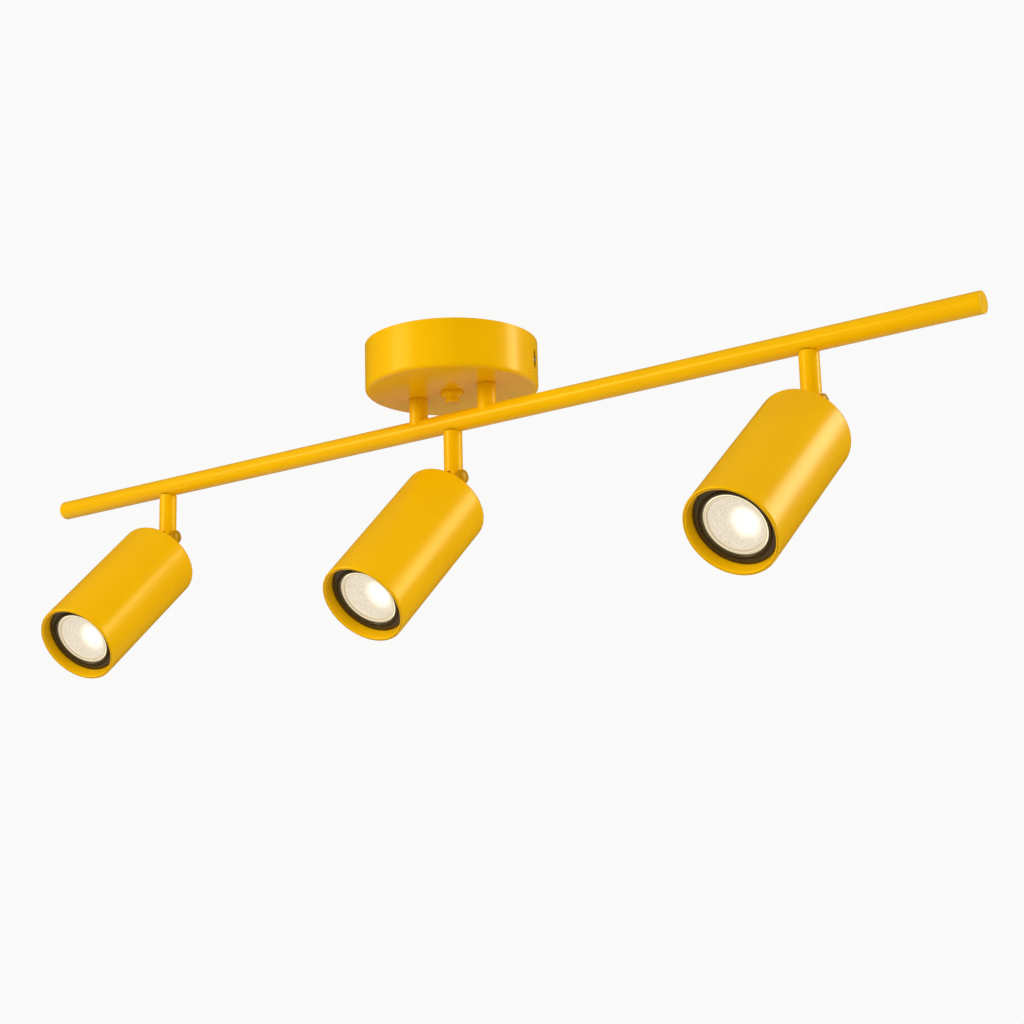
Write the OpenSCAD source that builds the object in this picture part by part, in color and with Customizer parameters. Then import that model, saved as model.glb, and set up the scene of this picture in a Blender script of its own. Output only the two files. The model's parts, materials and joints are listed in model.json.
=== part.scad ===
// Ceiling spot bar: a round canopy carries a straight bar on two short stems,
// and three lamp heads hang under the bar. Each head swivels and tilts.
// Millimetres. Origin: centre of the canopy on the ceiling plane. +Z up, bar along X.

/* [Canopy] */
// Outside diameter of the ceiling canopy
canopy_d = 120; // [118:1:130]
// Depth of the canopy below the ceiling
canopy_h = 34; // [33:0.5:38]
// Sheet thickness of the canopy
canopy_wall = 1.2; // [1:0.1:1.4]
// Angle from the bar to the canopy's two side slots
slot_angle = 20; // [14:1:40]
// Distance between the centres of the two ceiling screw slots
screw_pitch = 88.9; // [84:0.1:89]

/* [Bar and stems] */
// Outside diameter of the bar
bar_d = 14; // [14:0.1:14.6]
// Overall length of the bar with its end caps
bar_length = 776; // [720:2:900]
// Distance from the ceiling to the axis of the bar
bar_drop = 56; // [55.5:0.5:62]
// Outside diameter of all stems
stem_d = 13; // [12.6:0.1:13]
// Distance between the two support stems
support_spacing = 59; // [54:1:66]
// Distance from the ceiling to the tilt axes
pivot_drop = 96; // [94:0.5:110]

/* [Heads] */
// Distance between neighbouring heads
head_spacing = 274; // [270:2:300]
// Outside diameter of a head
head_d = 60; // [59.8:0.1:62]
// Length of a head
head_length = 114; // [112:1:116]
// Wall thickness of a head at its mouth
head_wall = 2.4; // [2.2:0.1:2.6]
// Distance from the tilt axis to the back of a head
pivot_gap = 18.5; // [18:0.1:19]
// Distance from the tilt axis to the plane of a head's own axis
pivot_offset = 7.5; // [7:0.1:8]
// Swivel of the left, middle and right heads from straight across the bar
head_pan = [3, -6, -6]; // [-30:1:30]
// Tilt of the left, middle and right heads from straight down
head_tilt = [48, 45, 48]; // [0:1:90]

/* [Hidden] */

$fn = 96;
yellow = [0.96, 0.72, 0.02];
black = [0.06, 0.05, 0.04];
zinc = [0.72, 0.73, 0.74];
brass = [0.78, 0.62, 0.30];
green = [0.15, 0.50, 0.25];
brown = [0.35, 0.20, 0.12];
ceramic = [0.90, 0.89, 0.86];
cream = [0.93, 0.90, 0.84];
through = 1;              // how far a cutter runs past the face it opens
running = 0.05;           // radial clearance of a turning fit

LEFT = 0;
MIDDLE = 1;
RIGHT = 2;
head_x = [-head_spacing, 0, head_spacing];

canopy_r = canopy_d / 2;
canopy_edge_r = 3;
plate_z = -canopy_h + canopy_wall;      // inner face of the canopy's plate
strap_t = 1.8;
strap_w = 18;
strap_length = screw_pitch + 15;
screw_slot_w = 4.6;
screw_slot_length = 12;
side_slot_w = 5;
side_slot_h = 13.5;
side_slot_z = -16.5;
side_tab_w = 14;
side_tab_t = 2;
side_tab_gap = 0.8;       // between a side tab and the canopy's wall
side_tab_h = 18;
side_screw_r = 2;
side_screw_length = 8;
side_hex_r = 1.15;
side_hex_depth = 2;
ground_x = 28;            // ground screw's distance from the stud, along the swivel strap
ground_r = 2;
stud_r = 3;
stud_end_z = -canopy_h - 5;
block_y = 30;             // terminal block on the canopy's plate
block_w = 33;
block_d = 16;
block_h = 14;
block_pitch = 10.5;
block_z = plate_z + block_h / 2;
block_top_z = plate_z + block_h;
block_front_y = block_y - block_d / 2;
block_wire_r = 1.9;
block_screw_y = 4;
block_screw_r = 1.7;
block_screw_h = 4;
lead_r = 0.8;
lead_gap = 0.95;          // two leads share the middle terminal, side by side
lead_y = 1.2;             // the two leads of a stem lie this far from its middle
lead_bar_z = -bar_drop + 3.9;

bar_r = bar_d / 2;
bar_bore_r = bar_r - 1.5;
cap_t = 2;
cap_plug_length = 6;
stem_r = stem_d / 2;
support_x = support_spacing / 2;
lead_hole_r = 3.4;
nipple_r = 5;
nipple_bore_r = 3.2;
nipple_in_stem = 8;
washer_t = 1;
locknut_t = 3;

seat_depth = 0.9;         // flat seat milled into the underside of the bar at each head
seat_z = -bar_drop - bar_r + seat_depth;
bush_length = 20;
bush_top_z = -bar_drop + 0.8;
swivel_r = 4;
swivel_bore_r = 2.8;
swivel_flange_r = 4.6;
swivel_flange_t = 1.4;
swivel_in_stem = 12;
pad_t = 0.3;              // friction washer between the bar's seat and the drop stem
pad_r = stem_r - 1;
stem_top_z = seat_z - running - pad_t;
fork_slot_w = 5.2;
fork_slot_top = 4.5;
fork_end = 7.5;           // end of the drop stem below the tilt axis
fork_end_r = 2;
pivot_r = 2;
cheek_x = 6.3;            // flats on the sides of the fork
cheek_r = 5.3;
screw_head_r = 5;
screw_head_h = 4.4;
screw_dome_h = 1.4;
cap_nut_h = 3.6;

tongue_t = 5;
tongue_r = 4.2;
tongue_angle = atan(pivot_offset / pivot_gap);
foot_r = 9;
foot_t = 2.5;
foot_screw_x = 6;
foot_screw_r = 1.25;
foot_screw_head_r = 2.4;
foot_screw_head_h = 1.6;
foot_screw_in_foot = 2;

head_r = head_d / 2;
head_bore_r = head_r - head_wall;
lip_r = head_wall / 2;
head_sheet_t = 1.4;       // wall behind the thicker collar at the mouth
collar_h = 14;
head_back_t = 2;
head_edge_r = 3.5;
back_z = -pivot_gap;
mouth_z = back_z - head_length;
ring_depth = 6.2;
ring_t = 3.2;
ring_seat_r = head_bore_r - 1;          // the bore narrows from the lip to the ring
ring_lip_r = 1.5;
ring_step = 0.4;          // the lip stands this far in front of the ring's face
ring_hole_r = 20.4;
lens_depth = 7.1;
lens_r = 20;
lens_t = 3.6;
lamp_front_r = 24.8;
lamp_front_t = 3;
lamp_neck_r = 12;
lamp_neck_h = 8;
lamp_length = 49;         // back of the lens to the end of the lamp's base
lamp_pin_r = 2.5;
lamp_pin_length = 6;
lamp_pin_x = 5;
holder_r = 13.5;
holder_t = 16;
yoke_w = 12;
yoke_t = 1.2;
yoke_web_w = 18;
holder_z = mouth_z + lens_depth + lens_t + lamp_length;

// Places the shape in the frame that swivels with head i, on the axis of its stem.
module on_stem(i) {
    translate([head_x[i], 0, 0]) rotate([0, 0, head_pan[i]]) children();
}

// Places the shape in the frame of head i: tilt axis at the origin, mouth towards -Z.
module on_head(i) {
    translate([head_x[i], 0, -pivot_drop]) rotate([-head_tilt[i], 0, head_pan[i]]) children();
}

// Places the shape on the axis of head i, which lies behind its tilt axis.
module in_head(i) {
    on_head(i) translate([0, pivot_offset, 0]) children();
}

// A straight slot with round ends, lying along X.
module slot_outline(length, width) {
    square([length - width, width], center = true);
    for (side = [-1, 1]) translate([side * (length - width) / 2, 0]) circle(d = width);
}

module tube(outer_r, inner_r, h) {
    difference() {
        cylinder(r = outer_r, h = h);
        translate([0, 0, -through]) cylinder(r = inner_r, h = h + 2 * through);
    }
}

// A low dome that closes a cylinder of radius r, its foot at z = 0.
module dome(r, h) {
    ball_r = (r * r + h * h) / (2 * h);
    intersection() {
        cylinder(r = r, h = h);
        translate([0, 0, h - ball_r]) sphere(ball_r);
    }
}

// ---- Canopy and the fittings inside it ----

// Half section of a round tray that is open at the top, with a rounded lower edge.
module tray_half(r, h, edge_r) {
    translate([0, edge_r - h]) square([r, h - edge_r]);
    translate([0, -h]) square([r - edge_r, h]);
    translate([r - edge_r, edge_r - h]) circle(edge_r);
}

module canopy() {
    color(yellow) difference() {
        rotate_extrude() tray_half(canopy_r, canopy_h, canopy_edge_r);
        translate([0, 0, through]) rotate_extrude() tray_half(
            canopy_r - canopy_wall, canopy_h - canopy_wall + through, canopy_edge_r - canopy_wall);
        translate([0, 0, -canopy_h - through]) {
            for (side = [-1, 1]) translate([side * support_x, 0, 0])
                cylinder(r = nipple_r + 0.1, h = canopy_wall + 2 * through);
            cylinder(r = stud_r + 0.2, h = canopy_wall + 2 * through);
        }
        for (turn = [0, 180]) rotate([0, 0, slot_angle + turn])
            translate([canopy_r - 4, 0, side_slot_z]) rotate([0, 90, 0])
                linear_extrude(6) slot_outline(side_slot_h, side_slot_w);
    }
}

// Flat strap screwed to the ceiling box through two slots.
module ceiling_strap() {
    color(zinc) translate([0, 0, -strap_t]) difference() {
        translate([-strap_length / 2, -strap_w / 2, 0]) cube([strap_length, strap_w, strap_t]);
        for (side = [-1, 1]) translate([side * screw_pitch / 2, 0, -through])
            linear_extrude(strap_t + 2 * through) slot_outline(screw_slot_length, screw_slot_w);
        translate([0, 0, -through]) cylinder(r = stud_r, h = strap_t + 2 * through);
    }
}

// Second strap, turned on the stud until its bent tabs meet the canopy's side slots.
module swivel_strap() {
    tab_x = canopy_r - canopy_wall - side_tab_gap;
    color(zinc) rotate([0, 0, slot_angle]) difference() {
        union() {
            translate([-tab_x, -side_tab_w / 2, -2 * strap_t]) cube([2 * tab_x, side_tab_w, strap_t]);
            for (side = [0, 1]) mirror([side, 0, 0])
                translate([tab_x - side_tab_t, -side_tab_w / 2, -2 * strap_t - side_tab_h])
                    cube([side_tab_t, side_tab_w, side_tab_h + strap_t]);
        }
        translate([0, 0, -2 * strap_t - through]) cylinder(r = stud_r, h = strap_t + 2 * through);
        translate([-canopy_r, 0, side_slot_z]) rotate([0, 90, 0])
            cylinder(r = side_screw_r, h = 2 * canopy_r);
        translate([-ground_x, 0, -2 * strap_t - through])
            cylinder(r = ground_r, h = strap_t + 2 * through);
    }
}

module centre_stud() {
    color(zinc) translate([0, 0, stud_end_z]) cylinder(r = stud_r, h = -stud_end_z);
}

module stud_locknut() {
    nut_t = 5;
    nut_r = 5.8;
    color(zinc) translate([0, 0, -2 * strap_t - nut_t]) difference() {
        cylinder(r = nut_r, h = nut_t, $fn = 6);
        translate([0, 0, -through]) cylinder(r = stud_r, h = nut_t + 2 * through);
    }
}

// Flanged cap nut under the canopy: a round flange, a bevelled step and a small rounded end.
module finial_nut() {
    flange_r = 8;
    flange_t = 2.2;
    bevel_t = 2;
    tip_r = 4.8;
    tip_t = 2.6;
    tip_dome_h = 1.2;
    color(yellow) translate([0, 0, -canopy_h]) mirror([0, 0, 1]) difference() {
        union() {
            cylinder(r = flange_r, h = flange_t);
            translate([0, 0, flange_t]) cylinder(r1 = flange_r, r2 = tip_r + 1, h = bevel_t);
            translate([0, 0, flange_t + bevel_t]) cylinder(r = tip_r, h = tip_t);
            translate([0, 0, flange_t + bevel_t + tip_t]) dome(tip_r, tip_dome_h);
        }
        translate([0, 0, -through]) cylinder(r = stud_r, h = through - stud_end_z - canopy_h);
    }
}

module side_screws() {
    color(zinc) for (turn = [0, 180]) rotate([0, 0, slot_angle + turn])
        translate([canopy_r - side_screw_length, 0, side_slot_z]) rotate([0, 90, 0]) difference() {
            cylinder(r = side_screw_r, h = side_screw_length);
            translate([0, 0, side_screw_length - side_hex_depth])
                cylinder(r = side_hex_r, h = side_hex_depth + through, $fn = 6);
        }
}

module ground_screw() {
    head_r = 3.8;
    head_h = 2.2;
    slot_w = 1;
    color(green) rotate([0, 0, slot_angle]) translate([-ground_x, 0, -2 * strap_t]) difference() {
        union() {
            cylinder(r = ground_r, h = strap_t);
            translate([0, 0, -head_h]) cylinder(r = head_r, h = head_h);
        }
        translate([0, 0, -head_h]) cube([1.6 * head_r, slot_w, 2 * slot_w], center = true);
    }
}

// Three-way screw terminal block standing on the canopy's plate.
module terminal_block() {
    color(cream) difference() {
        translate([-block_w / 2, block_y - block_d / 2, plate_z]) cube([block_w, block_d, block_h]);
        for (way = [-1, 0, 1]) translate([way * block_pitch, block_y, block_z]) {
            translate([0, -block_d, 0]) rotate([-90, 0, 0]) cylinder(r = block_wire_r, h = 2 * block_d);
            for (side = [-1, 1]) translate([0, side * block_screw_y, 0])
                cylinder(r = block_screw_r + 0.3, h = block_h);
        }
        for (gap = [-1, 1]) translate([gap * block_pitch / 2, block_y, block_top_z])
            cube([1.2, 2 * block_d, 6], center = true);
    }
}

module terminal_screws() {
    foot_z = block_top_z - block_screw_h - 1;
    slot_w = 0.8;
    color(brass) for (way = [-1, 0, 1], side = [-1, 1])
        translate([way * block_pitch, block_y + side * block_screw_y, foot_z]) difference() {
            cylinder(r = block_screw_r, h = block_screw_h);
            translate([0, 0, block_screw_h]) cube([4 * block_screw_r, slot_w, 2 * slot_w], center = true);
        }
}

// Closed tube swept along a list of points, with eight flat sides.
module lead(route, r) {
    last = len(route) - 1;
    sides = 8;
    function unit(v) = v / norm(v);
    function along(k) = unit(route[min(k + 1, last)] - route[max(k - 1, 0)]);
    function across(k) = unit(cross(along(k), [0.3, 1, 0.2]));
    function over(k) = cross(along(k), across(k));
    function ring(k) = [for (s = [0 : sides - 1])
        route[k] + r * (cos(360 * s / sides) * across(k) + sin(360 * s / sides) * over(k))];
    rings = [for (k = [0 : last], p = ring(k)) p];
    function wall(a, s, t) = [a + s, a + t, a + sides + t, a + sides + s];
    walls = [for (k = [0 : last - 1], s = [0 : sides - 1]) wall(k * sides, s, (s + 1) % sides)];
    ends = [[for (s = [sides - 1 : -1 : 0]) s], [for (s = [0 : sides - 1]) last * sides + s]];
    polyhedron(rings, concat(walls, ends));
}

// Route of one lead: out of the terminal block, over a support nipple, down it and along the bar.
function lead_route(side, way, y) = [
    [way * block_pitch + side * lead_gap, block_front_y + 3, block_z],
    [way * block_pitch + side * lead_gap, block_front_y - 3, block_z],
    [way * block_pitch + side * 4, block_front_y - 8, block_z + 2],
    [side * (support_x - 9.5), 7 + y, block_z + 4],
    [side * (support_x - 3), 2 + y, block_z + 3.6],
    [side * support_x, y, block_z - 1],
    [side * support_x, y, -canopy_h - 4],
    [side * support_x, y, lead_bar_z + 6],
    [side * (support_x + 1), y, lead_bar_z + 3],
    [side * (support_x + 3), y, lead_bar_z + 0.8],
    [side * (support_x + 6), y, lead_bar_z],
    [side * head_spacing, y, lead_bar_z]
];

module supply_leads() {
    color(brown) for (side = [-1, 1]) {
        lead(lead_route(side, side, lead_y), lead_r);
        lead(lead_route(side, 0, -lead_y), lead_r);
    }
}

// ---- Support stems and bar ----

// Short stem from the canopy to the bar, its lower end shaped round the bar and brazed.
module support_stem(side) {
    color(yellow) difference() {
        translate([side * support_x, 0, -bar_drop]) cylinder(r = stem_r, h = bar_drop - canopy_h);
        translate([side * support_x, 0, -bar_drop - through])
            cylinder(r = lead_hole_r, h = bar_drop);
        translate([side * support_x, 0, -canopy_h - nipple_in_stem])
            cylinder(r = nipple_r, h = nipple_in_stem + through);
        translate([-bar_length / 2, 0, -bar_drop]) rotate([0, 90, 0]) cylinder(r = bar_r, h = bar_length);
    }
}

module support_nipples() {
    above_plate = washer_t + locknut_t + 1.3;
    color(zinc) for (side = [-1, 1])
        translate([side * support_x, 0, -canopy_h - nipple_in_stem])
            tube(nipple_r, nipple_bore_r, nipple_in_stem + canopy_wall + above_plate);
}

module support_washers() {
    color(zinc) for (side = [-1, 1]) translate([side * support_x, 0, plate_z])
        tube(8.5, nipple_r, washer_t);
}

module support_locknuts() {
    color(brass) for (side = [-1, 1])
        translate([side * support_x, 0, plate_z + washer_t]) difference() {
            cylinder(r = 8.1, h = locknut_t, $fn = 6);
            translate([0, 0, -through]) cylinder(r = nipple_r, h = locknut_t + 2 * through);
        }
}

module bar_tube() {
    tube_length = bar_length - 2 * cap_t;
    color(yellow) difference() {
        translate([-tube_length / 2, 0, -bar_drop]) rotate([0, 90, 0])
            tube(bar_r, bar_bore_r, tube_length);
        for (side = [-1, 1]) translate([side * support_x, 0, -bar_drop])
            cylinder(r = lead_hole_r, h = bar_d);
        for (x = head_x) translate([x, 0, -bar_drop - bar_d]) {
            cylinder(r = swivel_r + running, h = bar_d);
            cylinder(r = stem_r + 0.2, h = bar_d - bar_r + seat_depth);
        }
    }
}

// Disc with a plug that is pressed into the end of the bar.
module end_cap(side) {
    edge_r = 0.8;
    color(yellow) translate([side * (bar_length / 2 - cap_t), 0, -bar_drop]) rotate([0, side * 90, 0]) {
        rotate_extrude() {
            square([bar_r, cap_t - edge_r]);
            square([bar_r - edge_r, cap_t]);
            translate([bar_r - edge_r, cap_t - edge_r]) circle(edge_r);
        }
        translate([0, 0, -cap_plug_length]) cylinder(r = bar_bore_r, h = cap_plug_length);
    }
}

// Half-round blocks brazed inside the bar: each one is the bearing of a drop stem.
module swivel_bushes() {
    color(zinc) for (x = head_x) translate([x, 0, 0]) difference() {
        translate([-bush_length / 2, 0, -bar_drop]) rotate([0, 90, 0])
            cylinder(r = bar_bore_r, h = bush_length);
        translate([-bush_length, -bar_d, bush_top_z]) cube([2 * bush_length, 2 * bar_d, bar_d]);
        translate([0, 0, -bar_drop - bar_d]) cylinder(r = swivel_r + running, h = 2 * bar_d);
    }
}

// ---- Swivelling stem of each head ----

// Hollow pin fixed in the stem, with a flange that rides on the bush inside the bar.
module swivel_nipple(i) {
    foot_z = stem_top_z - swivel_in_stem;
    flange_z = bush_top_z + running;
    color(zinc) on_stem(i) difference() {
        union() {
            translate([0, 0, foot_z]) cylinder(r = swivel_r, h = flange_z - foot_z);
            translate([0, 0, flange_z]) cylinder(r = swivel_flange_r, h = swivel_flange_t);
        }
        translate([0, 0, foot_z - through]) cylinder(r = swivel_bore_r, h = bar_drop);
    }
}

module swivel_washer(i) {
    color(black) on_stem(i) translate([0, 0, stem_top_z]) tube(pad_r, swivel_r, pad_t);
}

// Round stem that ends in a fork; the tongue of the head turns between its two cheeks.
module drop_stem(i) {
    end_z = -pivot_drop - fork_end;
    stem_h = stem_top_z - end_z;
    color(yellow) on_stem(i) difference() {
        translate([0, 0, end_z]) rotate_extrude() {
            translate([0, fork_end_r]) square([stem_r, stem_h - fork_end_r]);
            square([stem_r - fork_end_r, stem_h]);
            translate([stem_r - fork_end_r, fork_end_r]) circle(fork_end_r);
        }
        translate([0, 0, stem_top_z - swivel_in_stem])
            cylinder(r = swivel_r, h = swivel_in_stem + through);
        translate([0, 0, -pivot_drop]) cylinder(r = swivel_bore_r, h = pivot_drop);
        translate([-fork_slot_w / 2, -stem_d, end_z - through])
            cube([fork_slot_w, 2 * stem_d, fork_end + fork_slot_top + through]);
        translate([-stem_d, 0, -pivot_drop]) rotate([0, 90, 0]) cylinder(r = pivot_r, h = 2 * stem_d);
        for (side = [0, 1]) mirror([side, 0, 0])
            translate([cheek_x, 0, -pivot_drop]) rotate([0, 90, 0]) cylinder(r = cheek_r, h = stem_d);
    }
}

module pivot_screw(i) {
    shank = 2 * cheek_x + cap_nut_h - 1;
    color(yellow) on_stem(i) translate([cheek_x, 0, -pivot_drop]) rotate([0, 90, 0]) union() {
        translate([0, 0, -shank]) cylinder(r = pivot_r, h = shank);
        cylinder(r = screw_head_r, h = screw_head_h - screw_dome_h);
        translate([0, 0, screw_head_h - screw_dome_h]) dome(screw_head_r, screw_dome_h);
    }
}

module pivot_nut(i) {
    hex_h = 2.4;
    color(yellow) on_stem(i) translate([-cheek_x, 0, -pivot_drop]) rotate([0, -90, 0]) difference() {
        union() {
            cylinder(r = 4, h = hex_h, $fn = 6);
            translate([0, 0, hex_h]) dome(3.2, cap_nut_h - hex_h);
        }
        translate([0, 0, -through]) cylinder(r = pivot_r, h = cap_nut_h - 1 + through);
    }
}

// ---- Tilting head ----

// Round foot on the back of the head with a flat, leaning tongue that reaches the tilt axis.
module pivot_bracket(i) {
    tongue_length = norm([pivot_gap, pivot_offset]);
    color(yellow) on_head(i) difference() {
        union() {
            translate([0, pivot_offset, back_z]) cylinder(r = foot_r, h = foot_t);
            translate([-tongue_t / 2, 0, 0]) rotate([0, 90, 0]) cylinder(r = tongue_r, h = tongue_t);
            rotate([tongue_angle, 0, 0]) translate([-tongue_t / 2, -tongue_r, -tongue_length])
                cube([tongue_t, 2 * tongue_r, tongue_length]);
        }
        translate([-foot_r, pivot_offset - foot_r, back_z - foot_r])
            cube([2 * foot_r, 2 * foot_r, foot_r]);
        translate([-tongue_t, 0, 0]) rotate([0, 90, 0]) cylinder(r = pivot_r + running, h = 2 * tongue_t);
        for (side = [-1, 1]) translate([side * foot_screw_x, pivot_offset, back_z - through])
            cylinder(r = foot_screw_r, h = through + foot_screw_in_foot);
    }
}

// Screws from inside the head into the bracket's foot, through the yoke and the back wall.
module bracket_screws(i) {
    stack = head_back_t + yoke_t;
    color(zinc) in_head(i) for (side = [-1, 1]) translate([side * foot_screw_x, 0, back_z - stack]) {
        cylinder(r = foot_screw_r, h = stack + foot_screw_in_foot);
        translate([0, 0, -foot_screw_head_h]) cylinder(r = foot_screw_head_r, h = foot_screw_head_h);
    }
}

// Deep drawn cylinder: closed back with a rounded edge, and a thicker collar at the mouth
// with a full round lip and a bore that narrows to the retaining ring.
module head_shell(i) {
    color(yellow) in_head(i) difference() {
        rotate_extrude() {
            difference() {
                union() {
                    translate([0, mouth_z + lip_r]) square([head_r, head_length - lip_r - head_edge_r]);
                    translate([0, mouth_z + lip_r]) square([head_r - head_edge_r, head_length - lip_r]);
                    translate([head_r - head_edge_r, back_z - head_edge_r]) circle(head_edge_r);
                }
                polygon([
                    [0, mouth_z], [head_bore_r, mouth_z], [head_bore_r, mouth_z + lip_r],
                    [ring_seat_r, mouth_z + ring_depth], [ring_seat_r, mouth_z + collar_h],
                    [0, mouth_z + collar_h]
                ]);
                translate([0, mouth_z + collar_h])
                    square([head_r - head_sheet_t, head_length - head_back_t - collar_h]);
            }
            translate([head_r - lip_r, mouth_z + lip_r]) circle(lip_r);
        }
        for (side = [-1, 1]) translate([side * foot_screw_x, 0, back_z - head_back_t - through])
            cylinder(r = foot_screw_r, h = head_back_t + 2 * through);
    }
}

// Dark ring that holds the lamp in the mouth, with a rounded inner lip.
module retaining_ring(i) {
    color(black) in_head(i) rotate_extrude() {
        translate([ring_hole_r + ring_lip_r, mouth_z + ring_depth + ring_step])
            square([ring_seat_r - ring_hole_r - ring_lip_r, ring_t - ring_step]);
        translate([ring_hole_r + ring_lip_r, mouth_z + ring_depth + ring_lip_r]) circle(ring_lip_r);
    }
}

module lamp_lens(i) {
    rim_r = 0.8;
    color(cream) in_head(i) rotate_extrude() {
        translate([0, mouth_z + lens_depth + rim_r]) square([lens_r, lens_t - rim_r]);
        translate([lens_r - rim_r, mouth_z + lens_depth + rim_r]) circle(rim_r);
    }
}

// Reflector lamp with a tapering body and two bayonet pins.
module lamp_body(i) {
    front_z = mouth_z + lens_depth + lens_t;
    base_z = front_z + lamp_length;
    taper_h = lamp_length - lamp_front_t - lamp_neck_h;
    color(cream) in_head(i) {
        translate([0, 0, front_z]) cylinder(r = lamp_front_r, h = lamp_front_t);
        translate([0, 0, front_z + lamp_front_t])
            cylinder(r1 = lamp_front_r, r2 = lamp_neck_r, h = taper_h);
        translate([0, 0, base_z - lamp_neck_h]) cylinder(r = lamp_neck_r, h = lamp_neck_h);
        for (side = [-1, 1]) translate([side * lamp_pin_x, 0, base_z])
            cylinder(r = lamp_pin_r, h = lamp_pin_length);
    }
}

// Ceramic block with two sockets for the lamp's pins.
module lampholder(i) {
    color(ceramic) in_head(i) translate([0, 0, holder_z]) difference() {
        cylinder(r = holder_r, h = holder_t);
        for (side = [-1, 1]) translate([side * lamp_pin_x, 0, -through])
            cylinder(r = lamp_pin_r + 0.3, h = through + lamp_pin_length + 1);
    }
}

// Steel yoke: its web is screwed to the back of the head and its legs hold the lampholder.
module holder_bracket(i) {
    web_z = back_z - head_back_t - yoke_t;
    color(zinc) in_head(i) difference() {
        union() {
            translate([-yoke_web_w / 2, -holder_r - yoke_t, web_z])
                cube([yoke_web_w, 2 * (holder_r + yoke_t), yoke_t]);
            for (side = [0, 1]) mirror([0, side, 0]) translate([-yoke_w / 2, holder_r, holder_z + 4])
                cube([yoke_w, yoke_t, web_z - holder_z - 4 + yoke_t]);
        }
        for (side = [-1, 1]) translate([side * foot_screw_x, 0, web_z - through])
            cylinder(r = foot_screw_r, h = yoke_t + 2 * through);
    }
}

canopy();
ceiling_strap();
swivel_strap();
centre_stud();
stud_locknut();
finial_nut();
side_screws();
ground_screw();
terminal_block();
terminal_screws();
supply_leads();
support_stem(-1);  // support_stem_left
support_stem(1);  // support_stem_right
support_nipples();
support_washers();
support_locknuts();
bar_tube();
end_cap(-1);  // end_cap_left
end_cap(1);  // end_cap_right
swivel_bushes();
swivel_nipple(LEFT);  // left_swivel_nipple
swivel_washer(LEFT);  // left_swivel_washer
drop_stem(LEFT);  // left_drop_stem
pivot_screw(LEFT);  // left_pivot_screw
pivot_nut(LEFT);  // left_pivot_nut
pivot_bracket(LEFT);  // left_pivot_bracket
bracket_screws(LEFT);  // left_bracket_screws
head_shell(LEFT);  // left_head_shell
retaining_ring(LEFT);  // left_retaining_ring
lamp_lens(LEFT);  // left_lamp_lens
lamp_body(LEFT);  // left_lamp_body
lampholder(LEFT);  // left_lampholder
holder_bracket(LEFT);  // left_holder_bracket
swivel_nipple(MIDDLE);  // middle_swivel_nipple
swivel_washer(MIDDLE);  // middle_swivel_washer
drop_stem(MIDDLE);  // middle_drop_stem
pivot_screw(MIDDLE);  // middle_pivot_screw
pivot_nut(MIDDLE);  // middle_pivot_nut
pivot_bracket(MIDDLE);  // middle_pivot_bracket
bracket_screws(MIDDLE);  // middle_bracket_screws
head_shell(MIDDLE);  // middle_head_shell
retaining_ring(MIDDLE);  // middle_retaining_ring
lamp_lens(MIDDLE);  // middle_lamp_lens
lamp_body(MIDDLE);  // middle_lamp_body
lampholder(MIDDLE);  // middle_lampholder
holder_bracket(MIDDLE);  // middle_holder_bracket
swivel_nipple(RIGHT);  // right_swivel_nipple
swivel_washer(RIGHT);  // right_swivel_washer
drop_stem(RIGHT);  // right_drop_stem
pivot_screw(RIGHT);  // right_pivot_screw
pivot_nut(RIGHT);  // right_pivot_nut
pivot_bracket(RIGHT);  // right_pivot_bracket
bracket_screws(RIGHT);  // right_bracket_screws
head_shell(RIGHT);  // right_head_shell
retaining_ring(RIGHT);  // right_retaining_ring
lamp_lens(RIGHT);  // right_lamp_lens
lamp_body(RIGHT);  // right_lamp_body
lampholder(RIGHT);  // right_lampholder
holder_bracket(RIGHT);  // right_holder_bracket
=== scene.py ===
import json
from math import asin, atan2, ceil, cos, pi, radians, sin, tan

import bmesh
import bpy
from mathutils import Matrix, Vector


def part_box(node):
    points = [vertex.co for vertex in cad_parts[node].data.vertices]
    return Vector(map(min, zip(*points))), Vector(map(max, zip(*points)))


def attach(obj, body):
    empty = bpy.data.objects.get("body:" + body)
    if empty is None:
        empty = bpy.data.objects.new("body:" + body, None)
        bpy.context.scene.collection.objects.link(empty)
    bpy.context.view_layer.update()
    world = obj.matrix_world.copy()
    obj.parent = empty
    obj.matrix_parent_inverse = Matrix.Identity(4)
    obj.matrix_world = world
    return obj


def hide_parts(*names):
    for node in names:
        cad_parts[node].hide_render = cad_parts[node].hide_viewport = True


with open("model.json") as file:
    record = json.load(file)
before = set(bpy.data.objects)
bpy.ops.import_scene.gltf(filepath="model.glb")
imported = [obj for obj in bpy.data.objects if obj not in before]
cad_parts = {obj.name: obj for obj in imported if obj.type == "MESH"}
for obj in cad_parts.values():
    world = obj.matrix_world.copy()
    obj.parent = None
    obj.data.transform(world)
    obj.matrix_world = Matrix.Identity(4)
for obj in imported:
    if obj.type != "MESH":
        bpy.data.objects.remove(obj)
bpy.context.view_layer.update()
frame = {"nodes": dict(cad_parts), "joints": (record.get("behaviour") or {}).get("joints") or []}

# ---------------------------------------------------------------------------------------------
# Ceiling straps, stud and nuts: zinc plated steel, pressed and threaded. The long strap is
# screwed to the ceiling box, and the second one turns on the stud until its tabs meet the slots.
# ---------------------------------------------------------------------------------------------

MM = 0.001


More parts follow.
